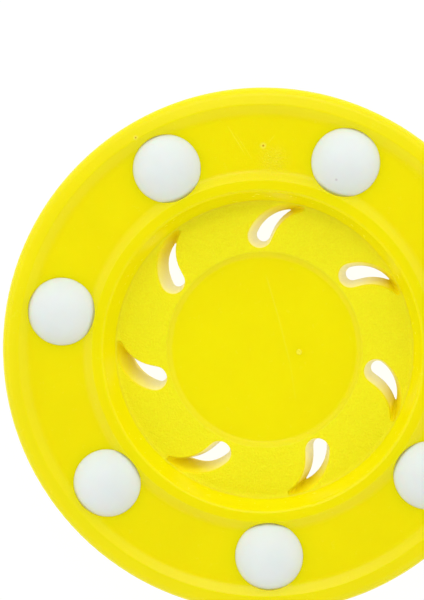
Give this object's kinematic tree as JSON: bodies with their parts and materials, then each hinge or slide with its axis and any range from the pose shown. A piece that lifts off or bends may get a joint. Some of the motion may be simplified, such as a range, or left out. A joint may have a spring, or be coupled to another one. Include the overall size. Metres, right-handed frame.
{
  "type": "roller hockey puck",
  "caption": "Round roller-hockey puck: two moulded half shells with a rim, groove, dished centre and swirling slots, and captive balls that roll in seats on both faces.",
  "frame": {"origin": "centre of the puck, on its axis at the parting plane between the two half shells", "axes": "+Z along the puck's axis, out of the upper face; +X through the first ball's centre"},
  "size_m": [0.08, 0.08, 0.0296],
  "materials": {
    "shell_plastic": "injection-moulded ABS, satin gloss",
    "ball_plastic": "polished nylon",
    "retainer_plastic": "natural moulded nylon",
    "weight_steel": "zinc plated",
    "pin_steel": "ground"
  },
  "bodies": {
    "puck": {"upper_shell": "shell_plastic", "lower_shell": "shell_plastic", "upper_retainer": "retainer_plastic", "lower_retainer": "retainer_plastic", "weight_ring": "weight_steel", "dowel_pins": "pin_steel"},
    "ball_upper_1": {"ball_upper_1": "ball_plastic"},
    "ball_upper_2": {"ball_upper_2": "ball_plastic"},
    "ball_upper_3": {"ball_upper_3": "ball_plastic"},
    "ball_upper_4": {"ball_upper_4": "ball_plastic"},
    "ball_upper_5": {"ball_upper_5": "ball_plastic"},
    "ball_upper_6": {"ball_upper_6": "ball_plastic"},
    "ball_upper_7": {"ball_upper_7": "ball_plastic"},
    "ball_lower_1": {"ball_lower_1": "ball_plastic"},
    "ball_lower_2": {"ball_lower_2": "ball_plastic"},
    "ball_lower_3": {"ball_lower_3": "ball_plastic"},
    "ball_lower_4": {"ball_lower_4": "ball_plastic"},
    "ball_lower_5": {"ball_lower_5": "ball_plastic"},
    "ball_lower_6": {"ball_lower_6": "ball_plastic"},
    "ball_lower_7": {"ball_lower_7": "ball_plastic"}
  },
  "joints": [
    {"name": "ball_upper_1_roll", "type": "hinge", "parent": "puck", "child": "ball_upper_1", "pos_m": [0.0313, 0, 0.00885], "axis": [0, 1, 0], "continuous": true},
    {"name": "ball_upper_2_roll", "type": "hinge", "parent": "puck", "child": "ball_upper_2", "pos_m": [0.01952, 0.02447, 0.00885], "axis": [-0.7818, 0.6235, 0], "continuous": true},
    {"name": "ball_upper_3_roll", "type": "hinge", "parent": "puck", "child": "ball_upper_3", "pos_m": [-0.00696, 0.03052, 0.00885], "axis": [-0.9749, -0.2225, 0], "continuous": true},
    {"name": "ball_upper_4_roll", "type": "hinge", "parent": "puck", "child": "ball_upper_4", "pos_m": [-0.0282, 0.01358, 0.00885], "axis": [-0.4339, -0.901, 0], "continuous": true},
    {"name": "ball_upper_5_roll", "type": "hinge", "parent": "puck", "child": "ball_upper_5", "pos_m": [-0.0282, -0.01358, 0.00885], "axis": [0.4339, -0.901, 0], "continuous": true},
    {"name": "ball_upper_6_roll", "type": "hinge", "parent": "puck", "child": "ball_upper_6", "pos_m": [-0.00696, -0.03052, 0.00885], "axis": [0.9749, -0.2225, 0], "continuous": true},
    {"name": "ball_upper_7_roll", "type": "hinge", "parent": "puck", "child": "ball_upper_7", "pos_m": [0.01952, -0.02447, 0.00885], "axis": [0.7818, 0.6235, 0], "continuous": true},
    {"name": "ball_lower_1_roll", "type": "hinge", "parent": "puck", "child": "ball_lower_1", "pos_m": [0.0313, 0, -0.00885], "axis": [0, 1, 0], "continuous": true},
    {"name": "ball_lower_2_roll", "type": "hinge", "parent": "puck", "child": "ball_lower_2", "pos_m": [0.01952, 0.02447, -0.00885], "axis": [-0.7818, 0.6235, 0], "continuous": true},
    {"name": "ball_lower_3_roll", "type": "hinge", "parent": "puck", "child": "ball_lower_3", "pos_m": [-0.00696, 0.03052, -0.00885], "axis": [-0.9749, -0.2225, 0], "continuous": true},
    {"name": "ball_lower_4_roll", "type": "hinge", "parent": "puck", "child": "ball_lower_4", "pos_m": [-0.0282, 0.01358, -0.00885], "axis": [-0.4339, -0.901, 0], "continuous": true},
    {"name": "ball_lower_5_roll", "type": "hinge", "parent": "puck", "child": "ball_lower_5", "pos_m": [-0.0282, -0.01358, -0.00885], "axis": [0.4339, -0.901, 0], "continuous": true},
    {"name": "ball_lower_6_roll", "type": "hinge", "parent": "puck", "child": "ball_lower_6", "pos_m": [-0.00696, -0.03052, -0.00885], "axis": [0.9749, -0.2225, 0], "continuous": true},
    {"name": "ball_lower_7_roll", "type": "hinge", "parent": "puck", "child": "ball_lower_7", "pos_m": [0.01952, -0.02447, -0.00885], "axis": [0.7818, 0.6235, 0], "continuous": true}
  ]
}
